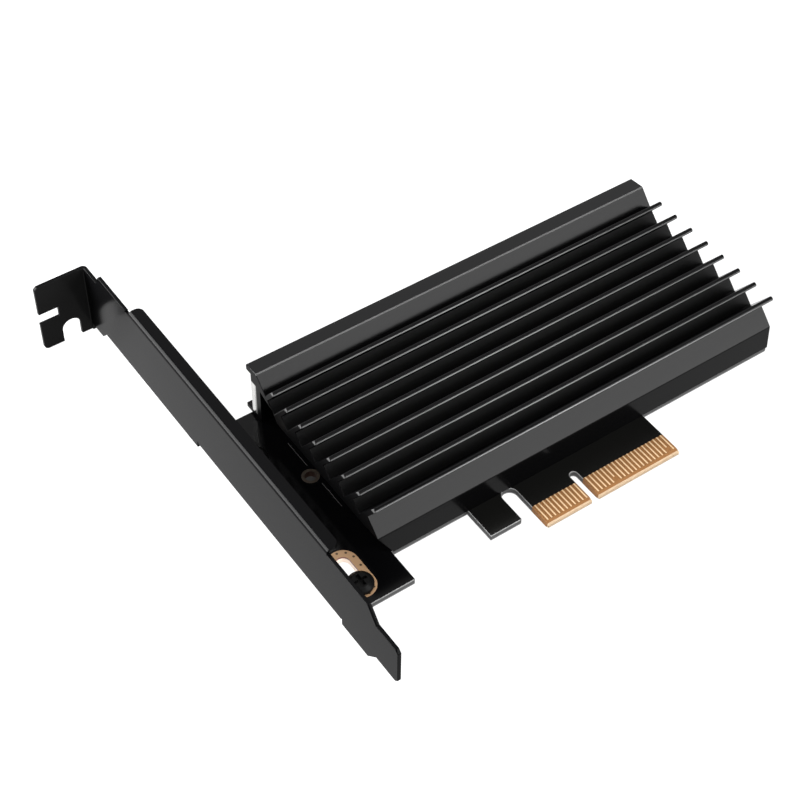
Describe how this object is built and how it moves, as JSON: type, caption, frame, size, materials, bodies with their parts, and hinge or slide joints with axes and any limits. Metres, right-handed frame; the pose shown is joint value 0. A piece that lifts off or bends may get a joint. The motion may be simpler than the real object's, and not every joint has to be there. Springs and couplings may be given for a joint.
{
  "type": "solid-state drive adapter card",
  "caption": "Slot card with edge fingers, a slot bracket and a finned heatsink over a bay with a socket for a small solid-state drive.",
  "frame": {"origin": "solder face of the board, at the bottom edge of the fingers, in the middle of the key notch", "axes": "+X along the card away from the bracket, +Y up from the edge fingers, +Z out of the component side"},
  "size_m": [0.1278, 0.1209, 0.0223],
  "materials": {
    "board": "black satin solder mask on glass-fibre board",
    "finger_gold": "gold plated",
    "plated_copper": "gold flash over copper",
    "heatsink_black": "black anodised extrusion",
    "screw_black": "black steel",
    "bracket_black": "black coated steel sheet",
    "pad_grey": "soft matt silicone",
    "socket_black": "moulded",
    "contact_gold": "gold plated",
    "tin": "bright tin",
    "capacitor_tan": "fired ceramic",
    "chip_black": "glazed",
    "fuse_green": "moulded"
  },
  "bodies": {
    "root": {"circuit_board": "board", "edge_fingers_front": "finger_gold", "edge_fingers_back": "finger_gold", "bracket_slot_plating": "plated_copper", "post_hole_plating": "plated_copper", "heatsink": "heatsink_black", "heatsink_screws_near": "screw_black", "heatsink_screws_far": "screw_black", "bracket": "bracket_black", "bracket_screws": "screw_black", "thermal_pad": "pad_grey", "drive_socket": "socket_black", "drive_socket_front_contacts": "contact_gold", "drive_socket_rear_contacts": "contact_gold", "drive_socket_anchors": "tin", "reservoir_capacitors": "capacitor_tan", "reservoir_capacitors_ends": "tin", "filter_capacitors": "capacitor_tan", "filter_capacitors_ends": "tin", "resistors": "chip_black", "resistors_ends": "tin", "fuse": "fuse_green", "fuse_ends": "tin"}
  },
  "joints": []
}
